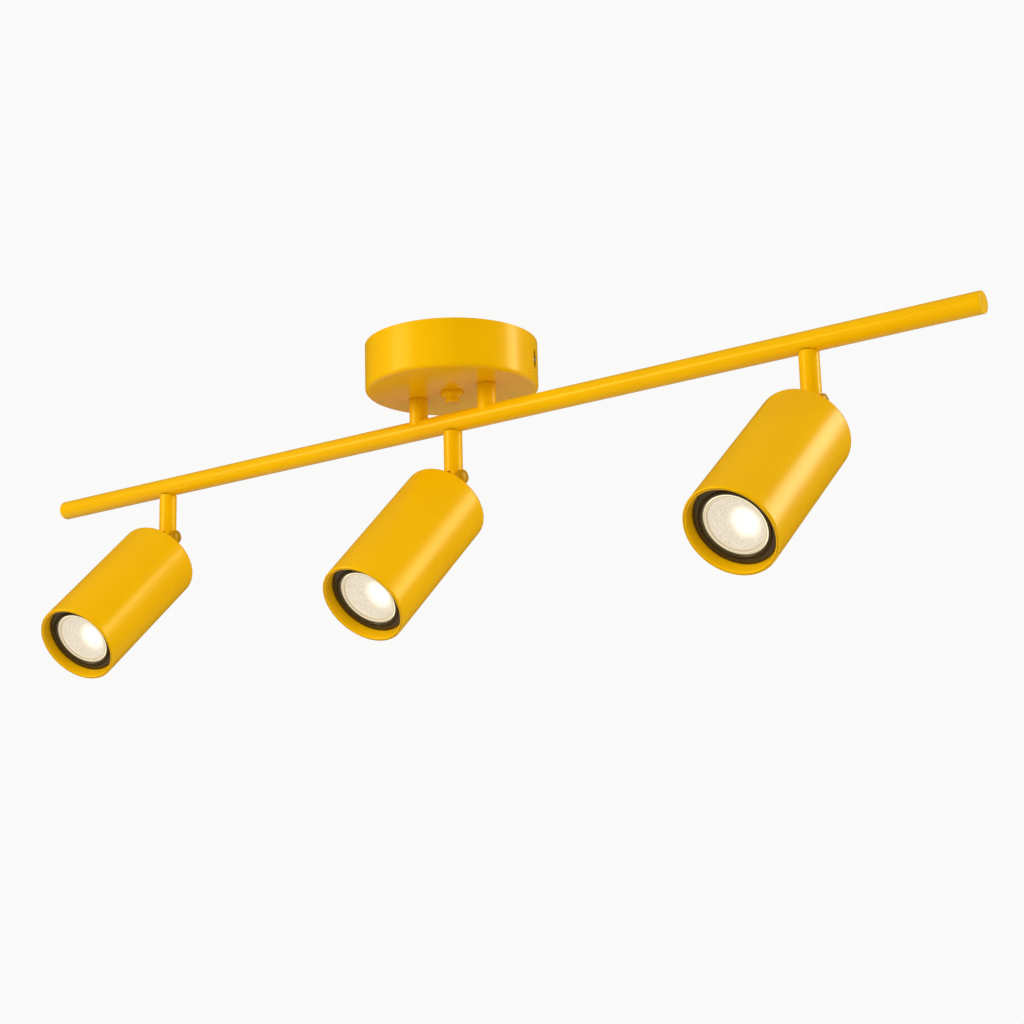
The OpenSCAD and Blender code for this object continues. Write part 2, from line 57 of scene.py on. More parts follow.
class Amount:
    """A number that varies over a surface. Arithmetic on it adds Math nodes."""

    def __init__(self, nodes, socket):
        self.nodes = nodes
        self.socket = socket

    def maths(self, operation, *terms):
        return self.nodes.read("ShaderNodeMath", 0, {"operation": operation}, dict(enumerate(terms)))

    def __add__(self, other):
        return self.maths("ADD", self, other)

    def __mul__(self, other):
        return self.maths("MULTIPLY", self, other)

    def __sub__(self, other):
        return self.maths("SUBTRACT", self, other)

    def __rsub__(self, other):
        return self.maths("SUBTRACT", other, self)

    __radd__ = __add__
    __rmul__ = __mul__

    def between(self, low, high):
        """0 at low, 1 at high and a smooth step between them."""
        return self.nodes.read("ShaderNodeMapRange", 0, {"interpolation_type": "SMOOTHSTEP"},
                               {"Value": self, "From Min": low, "From Max": high})


class Nodes:
    """A node tree that is built by adding nodes to it."""

    def __init__(self, tree):
        self.tree = tree

    def feed(self, socket, value):
        value = value.socket if isinstance(value, Amount) else value
        if isinstance(value, bpy.types.NodeSocket):
            self.tree.links.new(value, socket)
        else:
            socket.default_value = value

    def node(self, kind, settings={}, sockets={}):
        made = self.tree.nodes.new(kind)
        for name, value in settings.items():
            setattr(made, name, value)
        for name, value in sockets.items():
            self.feed(made.inputs[name], value)
        return made

    def read(self, kind, output, settings={}, sockets={}):
        return Amount(self, self.node(kind, settings, sockets).outputs[output])


class Finish(Nodes):
    """A material and its shader. Patterns are laid in Object coordinates, in metres."""

    def __init__(self, name, colour, roughness, metallic=0.0, specular=0.5):
        self.material = bpy.data.materials.new(name)
        self.material.use_nodes = True
        super().__init__(self.material.node_tree)
        self.shader = self.tree.nodes["Principled BSDF"]
        self.place = self.node("ShaderNodeTexCoord").outputs["Object"]
        self.set("Base Color", colour + (1.0,))
        self.set("Roughness", roughness)
        self.set("Metallic", metallic)
        self.set("Specular IOR Level", specular)
        self.material.diffuse_color = colour + (1.0,)

    def set(self, name, value):
        self.feed(self.shader.inputs[name], value)

    def noise(self, size, detail=2.0, stretch=(1, 1, 1)):
        """Cloudy noise from 0 to 1 with blotches of about the given size in mm."""
        where = self.node("ShaderNodeMapping", {}, {"Vector": self.place, "Scale": stretch})
        return self.read("ShaderNodeTexNoise", "Fac", {},
                         {"Vector": where.outputs[0], "Scale": 1 / (size * MM), "Detail": detail})

    def mix(self, factor, first, second):
        """A colour between two colours; the colour sockets of a Mix node are 6 and 7."""
        made = self.node("ShaderNodeMix", {"data_type": "RGBA"}, {"Factor": factor, 6: first, 7: second})
        return made.outputs[2]

    def bump(self, height, depth):
        """Relief: height runs from 0 to 1 and depth is its full height in mm."""
        made = self.node("ShaderNodeBump", {}, {"Height": height, "Distance": depth * MM})
        self.set("Normal", made.outputs[0])


def plated(name, colour, tint, roughness):
    """Bright plated metal: drawn grain, cloudy passivation and small stains."""
    made = Finish(name, colour, roughness, metallic=1.0)
    cloud = made.noise(7, 4)
    grain = made.noise(0.4, 2, (0.05, 1, 1))
    made.set("Base Color", made.mix(cloud.between(0.35, 0.75), colour + (1,), tint + (1,)))
    made.set("Roughness", roughness + 0.18 * cloud + 0.1 * (grain - 0.5))
    made.bump(grain, 0.012)
    return made


zinc = plated("zinc_plate", (0.64, 0.65, 0.66), (0.50, 0.52, 0.50), 0.22)
brass = plated("brass_bare", (0.73, 0.50, 0.19), (0.55, 0.35, 0.12), 0.22)


def make(name, shape, finish, body, replaced=()):
    """Turns a bmesh into a piece that rides on a body and stands for its CAD nodes."""
    mesh = bpy.data.meshes.new(name)
    shape.to_mesh(mesh)
    shape.free()
    mesh.shade_smooth()
    mesh.set_sharp_from_angle(angle=radians(35))
    mesh.materials.append(finish.material)
    made = bpy.data.objects.new(name, mesh)
    bpy.context.scene.collection.objects.link(made)
    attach(made, body)
    if replaced:
        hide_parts(*replaced)
    return made


def soften(piece, width):
    """Breaks the sharp edges of a piece; width in mm."""
    edge = piece.modifiers.new("broken_edges", "BEVEL")
    edge.width = width * MM
    edge.segments = 2
    edge.limit_method = "ANGLE"
    edge.angle_limit = radians(38)
    edge.harden_normals = True
    return piece


def from_cad(node, finish, body, edge=0.2):
    """Copies a CAD node, welds its triangles, clears its flat faces and breaks its edges."""
    shape = bmesh.new()
    shape.from_mesh(frame["nodes"][node].data)
    bmesh.ops.remove_doubles(shape, verts=shape.verts, dist=0.002 * MM)
    bmesh.ops.dissolve_limit(shape, angle_limit=radians(0.5), verts=shape.verts, edges=shape.edges)
    return soften(make(node + "_finished", shape, finish, body, [node]), edge)


for node in ("ceiling_strap", "swivel_strap", "stud_locknut", "side_screws", "support_washers"):
    from_cad(node, zinc, "fixture")


def node_box(node):
    """Lowest and highest corner of a CAD node in mm."""
    return [Vector(corner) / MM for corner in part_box(node)]


def thread(length, radius, bore, pitch):
    """Threaded rod standing on z = 0, in mm; a bore makes it a hollow nipple."""
    turns = ceil(length / pitch)
    root = radius - 0.6 * pitch
    steps = 20
    shape = bmesh.new()
    crest = [(radius, 0), (root, pitch / 2), (radius, pitch)]
    rows = [shape.verts.new((r * MM, 0, z * MM)) for r, z in crest]
    edges = [shape.edges.new(pair) for pair in zip(rows, rows[1:])]
    bmesh.ops.spin(shape, geom=rows + edges, cent=(0, 0, 0), axis=(0, 0, 1),
                   dvec=(0, 0, pitch * MM / steps), angle=2 * pi * turns, steps=steps * turns)
    for z, outwards in ((0, -1), (length, 1)):
        bmesh.ops.bisect_plane(shape, geom=shape.verts[:] + shape.edges[:] + shape.faces[:],
                               plane_co=(0, 0, z * MM), plane_no=(0, 0, outwards), clear_outer=True)
    bmesh.ops.remove_doubles(shape, verts=shape.verts, dist=0.01 * MM)
    if bore:
        core = lathe([(bore, 0.1), (root, 0.1), (root, length - 0.1), (bore, length - 0.1)], closed=True)
    else:
        core = lathe([(0, 0), (root, 0), (radius - 0.2, 0.2), (radius - 0.2, length - 0.3),
                      (root, length), (0, length)])
    return join(shape, core)


def rounded(corners):
    """Outline in mm from corners (radius, height, corner radius): one with a radius becomes an arc."""
    guard = 0.35  # distance from an arc to the extra point that keeps the flat beside it flat
    points = []
    for k, corner in enumerate(corners):
        here = Vector(corner[:2])
        size = corner[2] if len(corner) > 2 else 0
        if not size:
            points.append(tuple(here))
            continue
        before = Vector(corners[k - 1][:2])
        after = Vector(corners[(k + 1) % len(corners)][:2])
        back, ahead = (before - here).normalized(), (after - here).normalized()
        half = back.angle(ahead) / 2
        reach = size / tan(half)
        centre = here + (back + ahead).normalized() * size / sin(half)
        first, last = here + back * reach - centre, here + ahead * reach - centre
        start = atan2(first.y, first.x)
        sweep = (atan2(last.y, last.x) - start + pi) % (2 * pi) - pi
        steps = max(3, ceil(abs(sweep) / radians(11)))
        if (before - here).length > reach + 2 * guard:
            points.append(tuple(here + back * (reach + guard)))
        for step in range(steps + 1):
            turn = start + sweep * step / steps
            points.append((centre.x + size * cos(turn), centre.y + size * sin(turn)))
        if (after - here).length > reach + 2 * guard:
            points.append(tuple(here + ahead * (reach + guard)))
    return points


def lathe(corners, steps=48, closed=False):
    """Turned shape about Z from an outline in mm: open from axis to axis, or closed as a ring."""
    shape = bmesh.new()
    rows = [shape.verts.new((max(r, 0) * MM, 0, z * MM)) for r, z in rounded(corners)]
    pairs = list(zip(rows, rows[1:])) + ([(rows[-1], rows[0])] if closed else [])
    edges = [shape.edges.new(pair) for pair in pairs]
    bmesh.ops.spin(shape, geom=rows + edges, cent=(0, 0, 0), axis=(0, 0, 1), angle=2 * pi, steps=steps,
                   use_merge=True)
    bmesh.ops.remove_doubles(shape, verts=shape.verts, dist=0.003 * MM)
    bmesh.ops.recalc_face_normals(shape, faces=shape.faces)
    return shape


def join(*shapes):
    """Several bmeshes in one."""
    joined = shapes[0]
    for shape in shapes[1:]:
        mesh = bpy.data.meshes.new("part")
        shape.to_mesh(mesh)
        shape.free()
        joined.from_mesh(mesh)
        bpy.data.meshes.remove(mesh)
    return joined


def moved(shape, matrix):
    bmesh.ops.transform(shape, matrix=matrix, verts=shape.verts)
    return shape


def at(x=0, y=0, z=0):
    """Shift in mm."""
    return Matrix.Translation(Vector((x, y, z)) * MM)


low, high = node_box("centre_stud")
stud = moved(thread(high.z - low.z, high.x, 0, 1.0), at(z=low.z))
make("centre_stud_threaded", stud, zinc, "fixture", ["centre_stud"])

# ---------------------------------------------------------------------------------------------
# Canopy: a shallow tray drawn from steel sheet, powder coated yellow. Its lower edge is rounded
# in the press, and two upright slots in its side take the set screws of the strap's tabs.
# ---------------------------------------------------------------------------------------------


def powder_coat(name, colour, deep):
    """Satin powder coat: orange peel, faint clouds where the coat is thicker, fine specks."""
    made = Finish(name, colour, 0.30, specular=0.3)
    made.set("Specular Tint", (1.0, 0.84, 0.12, 1))
    peel = made.noise(1.3, 2)
    cloud = made.noise(38, 3)
    speck = made.noise(0.28, 1)
    thick = cloud.between(0.3, 0.8) * 0.5 + 0.25 * speck
    made.set("Base Color", made.mix(thick, colour + (1,), deep + (1,)))
    made.set("Roughness", 0.22 + 0.05 * peel + 0.04 * cloud)
    made.bump(peel + 0.25 * speck, 0.022)
    return made


yellow = powder_coat("yellow_powder_coat", (0.90, 0.475, 0.0), (0.83, 0.41, 0.0))


def box(size_x, size_y, size_z):
    """Block about the origin, in mm."""
    shape = bmesh.new()
    bmesh.ops.create_cube(shape, size=1)
    bmesh.ops.scale(shape, vec=Vector((size_x, size_y, size_z)) * MM, verts=shape.verts)
    return shape


def rod(radius, length, steps=32):
    """Cylinder from z = 0 upwards, in mm."""
    return lathe([(0, 0), (radius, 0), (radius, length), (0, length)], steps)


def carve(shape, *cutters, operation="DIFFERENCE"):
    """Cuts closed shapes out of a shape, or adds them to it."""
    parts = []
    for part in (shape,) + cutters:
        mesh = bpy.data.meshes.new("part")
        part.to_mesh(mesh)
        part.free()
        parts.append(bpy.data.objects.new("part", mesh))
        bpy.context.scene.collection.objects.link(parts[-1])
    for cutter in parts[1:]:
        step = parts[0].modifiers.new("carve", "BOOLEAN")
        step.object = cutter
        step.operation = operation
        step.solver = "EXACT"
    result = bmesh.new()
    result.from_object(parts[0], bpy.context.evaluated_depsgraph_get())
    for part in parts:
        bpy.data.meshes.remove(part.data)
    bmesh.ops.remove_doubles(result, verts=result.verts, dist=0.003 * MM)
    return result


def turn(angle, axis):
    return Matrix.Rotation(angle, 4, axis)


low, high = node_box("canopy")
canopy_r, canopy_h = high.x, -low.z
sheet, fold_r = 1.2, 3.0
tray = lathe([(0, -canopy_h), (canopy_r, -canopy_h, fold_r), (canopy_r, 0, 0.3),
              (canopy_r - sheet, 0, 0.3), (canopy_r - sheet, sheet - canopy_h, fold_r - sheet),
              (0, sheet - canopy_h)], steps=160)
low, high = node_box("side_screws")
screw_rim = 1.9  # how far a side screw's rim reaches past its axis, across the bar
slot_angle = atan2(high.y - screw_rim, high.x)
slot_z = (low.z + high.z) / 2
slot_w, slot_h = 5.0, 13.5
cut = 8
straight = slot_h - slot_w
slots = []
for half_turn in (0, pi):
    place = turn(slot_angle + half_turn, "Z") @ at(canopy_r - cut / 2, 0, slot_z)
    slots.append(moved(box(cut, slot_w, straight), place @ at(x=cut / 2)))
    for end in (-1, 1):
        slot_end = place @ at(z=end * straight / 2) @ turn(pi / 2, "Y")
        slots.append(moved(rod(slot_w / 2, cut), slot_end))
hole_x, nipple_hole_r, stud_hole_r = 29.5, 5.1, 3.2
holes = [moved(rod(radius, 4), at(x=x, z=-canopy_h - 1))
         for x, radius in ((-hole_x, nipple_hole_r), (hole_x, nipple_hole_r), (0, stud_hole_r))]
canopy = carve(tray, *slots, *holes)
soften(make("canopy_tray", canopy, yellow, "fixture", ["canopy"]), 0.15)

# ---------------------------------------------------------------------------------------------
# Cap nut on the stud under the canopy: turned brass, coated with the canopy. A round flange,
# a bevelled step and a small rounded end.
# ---------------------------------------------------------------------------------------------
low, high = node_box("finial_nut")
nut_top = high.z
nut_h = high.z - low.z
flange_r, tip_r = 8, 4.8
nut = lathe([(0, 0), (flange_r, 0, 0.3), (flange_r, -2.2, 0.6), (5.9, -4.1, 0.4), (tip_r, -4.3, 0.3),
             (tip_r, -nut_h + 0.2, 1.4), (0, -nut_h)], steps=64)
make("finial_nut_turned", moved(nut, at(z=nut_top)), yellow, "fixture",
     ["finial_nut"])

# ---------------------------------------------------------------------------------------------
# Terminal block and earth screw: moulded nylon with brass screws, and insulated leads that run
# down the support stems and along the bar.
# ---------------------------------------------------------------------------------------------


def moulded(name, colour, roughness, grain=0.5, depth=0.02):
    """Moulded plastic or ceramic: fine spark texture and faint flow marks."""
    made = Finish(name, colour, roughness)
    spark = made.noise(grain, 3)
    flow = made.noise(12, 2)
    dull = tuple(0.88 * c for c in colour)
    made.set("Base Color", made.mix(flow.between(0.3, 0.9) * 0.8, colour + (1,), dull + (1,)))
    made.set("Roughness", roughness - 0.06 + 0.12 * spark)
    made.bump(spark, depth)
    return made


nylon = moulded("white_nylon", (0.80, 0.79, 0.74), 0.45)
green = plated("green_passivated", (0.10, 0.36, 0.16), (0.16, 0.42, 0.12), 0.3)
from_cad("terminal_block", nylon, "fixture", 0.35)
from_cad("terminal_screws", brass, "fixture", 0.12)
from_cad("ground_screw", green, "fixture", 0.2)
from_cad("support_locknuts", brass, "fixture", 0.25)


def lead(name, finish, route, radius, replaced):
    """Insulated lead along a route in mm."""
    path = bpy.data.curves.new(name, "CURVE")
    path.dimensions = "3D"
    path.bevel_depth = radius * MM
    path.bevel_resolution = 4
    path.resolution_u = 8
    path.use_fill_caps = True
    line = path.splines.new("BEZIER")
    line.bezier_points.add(len(route) - 1)
    for point, place in zip(line.bezier_points, route):
        point.co = Vector(place) * MM
        point.handle_left_type = point.handle_right_type = "AUTO"
    wire = bpy.data.objects.new(name + "_path", path)
    shape = bmesh.new()
    shape.from_mesh(bpy.data.meshes.new_from_object(wire))
    bpy.data.curves.remove(path)
    return make(name, shape, finish, "fixture", replaced)


brown = moulded("brown_insulation", (0.12, 0.045, 0.018), 0.4, 0.3, 0.006)
blue = moulded("blue_insulation", (0.02, 0.10, 0.42), 0.4, 0.3, 0.006)
low, high = node_box("terminal_block")
block_front, block_middle = low.y, (low.z + high.z) / 2
block_pitch = 10.5
nipple_r, bar_r = 5.0, 7.0
nipple_x = node_box("support_nipples")[1].x - nipple_r
bar_z = node_box("bar_tube")[0].z + bar_r
head_spacing = frame["joints"][-1]["pos_m"][0] / MM
lead_r, lead_gap, lead_apart = 0.8, 0.95, 1.2
for side in (-1, 1):
    for way, shift, finish in ((side, lead_apart, brown), (0, -lead_apart, blue)):
        start_x = way * block_pitch + side * lead_gap
        route = [(start_x, block_front + 3, block_middle), (start_x, block_front - 3, block_middle),
                 (way * block_pitch + side * 4, 14, block_middle + 2),
                 (side * 20, 7 + shift, block_middle + 4),
                 (side * (nipple_x - 3), 2 + shift, block_middle + 3.6),
                 (side * nipple_x, shift, block_middle - 1), (side * nipple_x, shift, -canopy_h - 4),
                 (side * nipple_x, shift, bar_z + 10), (side * (nipple_x + 1), shift, bar_z + 6.9),
                 (side * (nipple_x + 3), shift, bar_z + 4.7),
                 (side * (nipple_x + 6), shift, bar_z + 3.9),
                 (side * head_spacing, shift, bar_z + 3.9)]
        name = f"lead_{'left' if side < 0 else 'right'}_{'brown' if finish is brown else 'blue'}"
        lead(name, finish, route, lead_r, ["supply_leads"])

# ---------------------------------------------------------------------------------------------
# Support stems: two short steel tubes on hollow threaded nipples. Each lower end is shaped round
# the bar and brazed, then coated with it.
# ---------------------------------------------------------------------------------------------
stem_r, stem_bore_r, nipple_bore_r = 6.5, 3.4, 3.2
stem_end = bar_z + canopy_h
for side, name in ((-1, "left"), (1, "right")):
    x = side * nipple_x
    tube = lathe([(stem_bore_r, -0.1), (stem_r, -0.1, 0.25), (stem_r, stem_end),
                  (stem_bore_r, stem_end)], steps=64, closed=True)
    bar_cutter = moved(rod(bar_r, 60, 96), at(x - 30, 0, bar_z) @ turn(pi / 2, "Y"))
    stem = carve(moved(tube, at(x, 0, -canopy_h)), bar_cutter)
    make(f"support_stem_{name}_tube", stem, yellow, "fixture",
         [f"support_stem_{name}"])
low, high = node_box("support_nipples")
nipples = [moved(thread(high.z - low.z, nipple_r, nipple_bore_r, 1.0), at(side * nipple_x, 0, low.z))
           for side in (-1, 1)]
make("support_nipples_threaded", join(*nipples), zinc, "fixture",
     ["support_nipples"])

# ---------------------------------------------------------------------------------------------
# Bar: one drawn steel tube with a pressed cap in each end. A flat seat is milled into its
# underside for each drop stem, with a brazed bush behind it.
# ---------------------------------------------------------------------------------------------
along_bar = turn(pi / 2, "Y")
low, high = node_box("bar_tube")
seat_z = node_box("middle_drop_stem")[1].z + 0.35
bar_bore_r, beside_seat = 5.5, 9
rings = [side * (x + step)
         for x in (0, head_spacing) for step in (-beside_seat, beside_seat) for side in (-1, 1)]
outer = [(bar_r, x) for x in sorted(set(rings))]
tube = lathe([(bar_r, low.x)] + outer + [(bar_r, high.x), (bar_bore_r, high.x), (bar_bore_r, low.x)],
             steps=96, closed=True)
seats = [moved(rod(stem_r + 0.2, 6, 64), at(x, 0, seat_z - 6)) for x in (-head_spacing, 0, head_spacing)]
bar = carve(moved(tube, at(z=bar_z) @ along_bar), *seats)
make("bar_tube_drawn", bar, yellow, "fixture", ["bar_tube"])
for side, name in ((-1, "left"), (1, "right")):
    cap = lathe([(0, -6), (bar_bore_r, -6, 0.4), (bar_bore_r, 0), (bar_r, 0), (bar_r, 2, 0.8), (0, 2)],
                steps=96)
    place = at(side * high.x, 0, bar_z) @ turn(side * pi / 2, "Y")
    make(f"end_cap_{name}_pressed", moved(cap, place), yellow, "fixture",
         [f"end_cap_{name}"])
from_cad("swivel_bushes", zinc, "fixture")

# ---------------------------------------------------------------------------------------------
# Drop stems: steel rod drilled for the leads, its lower end rounded and slotted into a fork.
# Each one swivels on a flanged hollow pin, with a dark friction washer against the bar's seat.
# ---------------------------------------------------------------------------------------------
joints = {joint["name"]: joint for joint in frame["joints"]}


def tilt_joint(side):
    """Place of the tilt axis in mm, swivel angle and tilt angle of a head at rest."""
    joint = joints[side + "_tilt"]
    across = joint["axis"]
    return Vector(joint["pos_m"]) / MM, atan2(-across[1], -across[0]), -radians(joint["range_deg"][0])


SIDES = ("left", "middle", "right")
washer_black = moulded("washer_black", (0.03, 0.03, 0.03), 0.5)
fork_slot, fork_top, fork_end = 5.2, 4.5, 7.5
cheek, cheek_r, pivot_r = 6.3, 5.3, 2
for side in SIDES:
    pivot, swivel, _ = tilt_joint(side)
    place = at(*pivot) @ turn(swivel, "Z")
    top = node_box(f"{side}_drop_stem")[1].z - pivot.z
    blank = lathe([(0, top), (stem_r, top, 0.3), (stem_r, 11), (stem_r, 9), (stem_r, -fork_end, 2),
                   (0, -fork_end)], steps=64)
    gap = moved(box(fork_slot, 20, fork_top + fork_end + 4), at(z=(fork_top - fork_end - 4) / 2))
    flats = [moved(rod(cheek_r, 4, 48), turn(way * pi / 2, "Y") @ at(z=cheek)) for way in (-1, 1)]
    eye = moved(rod(pivot_r, 30, 24), at(x=-15) @ turn(pi / 2, "Y"))
    stem = moved(carve(blank, gap, eye, *flats), place)
    soften(make(f"{side}_drop_stem_forked", stem, yellow, f"{side}_stem",
                [f"{side}_drop_stem"]), 0.3)
    from_cad(f"{side}_swivel_nipple", zinc, f"{side}_stem")
    from_cad(f"{side}_swivel_washer", washer_black, f"{side}_stem", 0.1)

# ---------------------------------------------------------------------------------------------
# Pivot screws and cap nuts: they squeeze the fork on the tongue of the head. The screw has a
# plain domed head, and the nut on its other end is closed.
# ---------------------------------------------------------------------------------------------


def dome(radius, height, foot, steps=8):
    """Corners of a low dome, from its rim to the axis, in mm."""
    ball = (radius ** 2 + height ** 2) / (2 * height)
    widest = asin(radius / ball)
    angles = [widest * (1 - k / steps) for k in range(steps + 1)]
    return [(ball * sin(angle), foot + height - ball + ball * cos(angle)) for angle in angles]


def hexagon(radius, length):
    """Hexagonal bar from z = 0 upwards, in mm across its corners."""
    shape = bmesh.new()
    bmesh.ops.create_cone(shape, cap_ends=True, segments=6, radius1=radius * MM, radius2=radius * MM,
                          depth=length * MM)
    return moved(shape, at(z=length / 2))


# The pivot screws and cap nuts take a darker copy of the yellow powder coat: painted shade that stands
# in for the shadow on them, not a finish of their own.
screw_painted_shade_coat = powder_coat("screw_painted_shade_coat", (0.52, 0.25, 0.0), (0.40, 0.18, 0.0))
shank, screw_head_r, nut_hex_h, nut_dome_r = 15.1, 5, 2.4, 3.2
for side in SIDES:
    pivot, swivel, _ = tilt_joint(side)
    place = at(*pivot) @ turn(swivel, "Z")
    screw = lathe([(0, -shank), (pivot_r, -shank, 0.4), (pivot_r, 0), (screw_head_r, 0, 0.2)]
                  + dome(screw_head_r, 1.4, 3.0), steps=48)
    moved(screw, place @ at(x=cheek) @ turn(pi / 2, "Y"))
    soften(make(f"{side}_pivot_screw_domed", screw, screw_painted_shade_coat, f"{side}_stem",
                [f"{side}_pivot_screw"]), 0.12)
    nut = join(hexagon(4, nut_hex_h),
               lathe([(0, 2.2), (nut_dome_r, 2.2)] + dome(nut_dome_r, 1.2, nut_hex_h), steps=32))
    moved(nut, place @ at(x=-cheek) @ turn(-pi / 2, "Y"))
    soften(make(f"{side}_pivot_nut_closed", nut, screw_painted_shade_coat, f"{side}_stem",
                [f"{side}_pivot_nut"]), 0.3)

# ---------------------------------------------------------------------------------------------
# Head shells: deep drawn cylinders with a closed, rounded back and a rolled lip at the mouth,
# powder coated. The pivot bracket on the back is a round foot with a flat, leaning tongue.
# ---------------------------------------------------------------------------------------------
head_r, head_length, pivot_gap, pivot_offset = 30.0, 114.0, 18.5, 7.5
wall, thin_wall, collar = 2.4, 1.4, 14.0
back, mouth = -pivot_gap, -pivot_gap - head_length
seat_r, seat_depth = head_r - wall - 1, 6.2
tongue_lean = atan2(pivot_offset, pivot_gap)
tongue_r, tongue_t, foot_r, foot_t, back_t = 4.2, 5, 9, 2.5, 2


def on_head(side):
    """Frame of a head: the tilt axis at the origin and the mouth towards -Z."""
    pivot, swivel, tilt = tilt_joint(side)
    return at(*pivot) @ turn(swivel, "Z") @ turn(-tilt, "X")


def in_head(side):
    """The same frame moved on to the head's own axis, which passes behind the tilt axis."""
    return on_head(side) @ at(y=pivot_offset)


for side in SIDES:
    shell = lathe([(0, back), (head_r, back, 3.5), (head_r, mouth, wall / 2),
                   (head_r - wall, mouth, wall / 2), (seat_r, mouth + seat_depth, 0.2),
                   (seat_r, mouth + collar, 0.3), (head_r - thin_wall, mouth + collar),
                   (head_r - thin_wall, back - back_t, 1.2), (0, back - back_t)], steps=144)
    make(f"{side}_head_shell_drawn", moved(shell, in_head(side)), yellow, f"{side}_head",
         [f"{side}_head_shell"])
    foot = moved(lathe([(0, foot_t), (foot_r, foot_t, 0.8), (foot_r, 0), (0, 0)], steps=64),
                 at(y=pivot_offset, z=back))
    tongue = moved(lathe([(0, -tongue_t / 2), (tongue_r, -tongue_t / 2), (tongue_r, tongue_t / 2),
                          (0, tongue_t / 2)], steps=48), turn(pi / 2, "Y"))
    web = moved(box(tongue_t, 2 * tongue_r, 22), turn(tongue_lean, "X") @ at(z=-11))
    below = moved(box(20, 40, 10), at(z=back + 0.2 - 5))
    leaning = carve(carve(tongue, web, operation="UNION"), below)
    bracket = moved(join(foot, leaning), on_head(side))
    soften(make(f"{side}_pivot_bracket_cast", bracket, yellow, f"{side}_head",
                [f"{side}_pivot_bracket"]), 0.4)
    from_cad(f"{side}_bracket_screws", zinc, f"{side}_head")

# ---------------------------------------------------------------------------------------------
# Retaining rings: dark plastic, moulded. Each is pressed into the collar behind a head's mouth
# and holds the lamp with its rounded inner lip.
# ---------------------------------------------------------------------------------------------
ring_black = moulded("ring_black", (0.042, 0.024, 0.006), 0.24, 0.6, 0.006)
ring_black.set("Specular Tint", (1.0, 0.85, 0.45, 1))
ring_r, lip_r, ring_back = 26.5, 20.4, mouth + 9.4
for side in SIDES:
    ring = lathe([(ring_r, mouth + 6.9, 0.4), (ring_r, ring_back), (lip_r, ring_back, 0.3),
                  (lip_r, mouth + seat_depth, 0.95), (lip_r + 2, mouth + seat_depth, 0.95),
                  (22.5, mouth + 7.6, 0.1), (23.0, mouth + 7.6, 0.1), (23.1, mouth + 6.8, 0.3)],
                 steps=144, closed=True)
    make(f"{side}_retaining_ring_moulded", moved(ring, in_head(side)), ring_black, f"{side}_head",
         [f"{side}_retaining_ring"])

# ---------------------------------------------------------------------------------------------
# Lamps: a moulded body with a bright cup inside, behind a frosted cover with a stepped rim.
# The cup glows most a little off its middle, where the light source sits.
# ---------------------------------------------------------------------------------------------
lens_r, lens_depth = 20.0, 7.1


def from_axis(finish, side, reach, shift=(0, 0)):
    """Distance from a lamp's axis shifted sideways, 0 on it and 1 at reach; both in mm."""
    axis = in_head(side).to_3x3() @ Vector((0, 0, -1))
    offset = finish.node("ShaderNodeVectorMath", {"operation": "SUBTRACT"},
                         {0: finish.place, 1: (in_head(side) @ at(*shift)).translation})
    across = finish.node("ShaderNodeVectorMath", {"operation": "CROSS_PRODUCT"},
                         {0: offset.outputs[0], 1: axis})
    length = finish.node("ShaderNodeVectorMath", {"operation": "LENGTH"}, {0: across.outputs[0]})
    return Amount(finish, length.outputs["Value"]) * (1 / (reach * MM))


def glow(side):
    """Bright cup: white hot at the light source, warm cream at the edge."""
    made = Finish(f"{side}_lamp_glow", (0.25, 0.22, 0.16), 0.4)
    heat = 1 - from_axis(made, side, 21, (1.6, 3.5)).between(0.28, 0.60)
    warm = made.mix(heat, (0.80, 0.68, 0.49, 1), (1.0, 0.97, 0.90, 1))
    scaled = made.node("ShaderNodeVectorMath", {"operation": "SCALE"},
                       {0: warm, "Scale": 0.70 + 2.6 * heat})
    made.set("Emission Color", scaled.outputs[0])
    made.set("Emission Strength", 1.0)
    return made


def frosted(side):
    """Frosted cover: fine speckle that lets the glow behind it through."""
    made = Finish(f"{side}_lens_frost", (0.22, 0.19, 0.14), 0.45)
    grain = made.noise(0.7, 2)
    across = from_axis(made, side, lens_r)
    edge, brim = across.between(0.89, 0.91), across.between(0.965, 0.985)
    made.set("Alpha", 0.48 + 0.24 * grain.between(0.3, 0.7) + 0.6 * edge)
    glowing = made.mix(grain.between(0.3, 0.7), (0.42, 0.37, 0.30, 1), (0.79, 0.72, 0.60, 1))
    grooves = (across.between(0.875, 0.895) - across.between(0.905, 0.925)
               + across.between(0.94, 0.95) - across.between(0.96, 0.97))
    rim = made.mix(brim, (0.70, 0.59, 0.40, 1), (1.0, 0.92, 0.64, 1))
    face = made.mix(edge, glowing, rim)
    made.set("Emission Color", made.mix(grooves * 0.75, face, (0.26, 0.19, 0.11, 1)))
    made.set("Emission Strength", 1.0)
    made.bump(grain, 0.04)
    return made


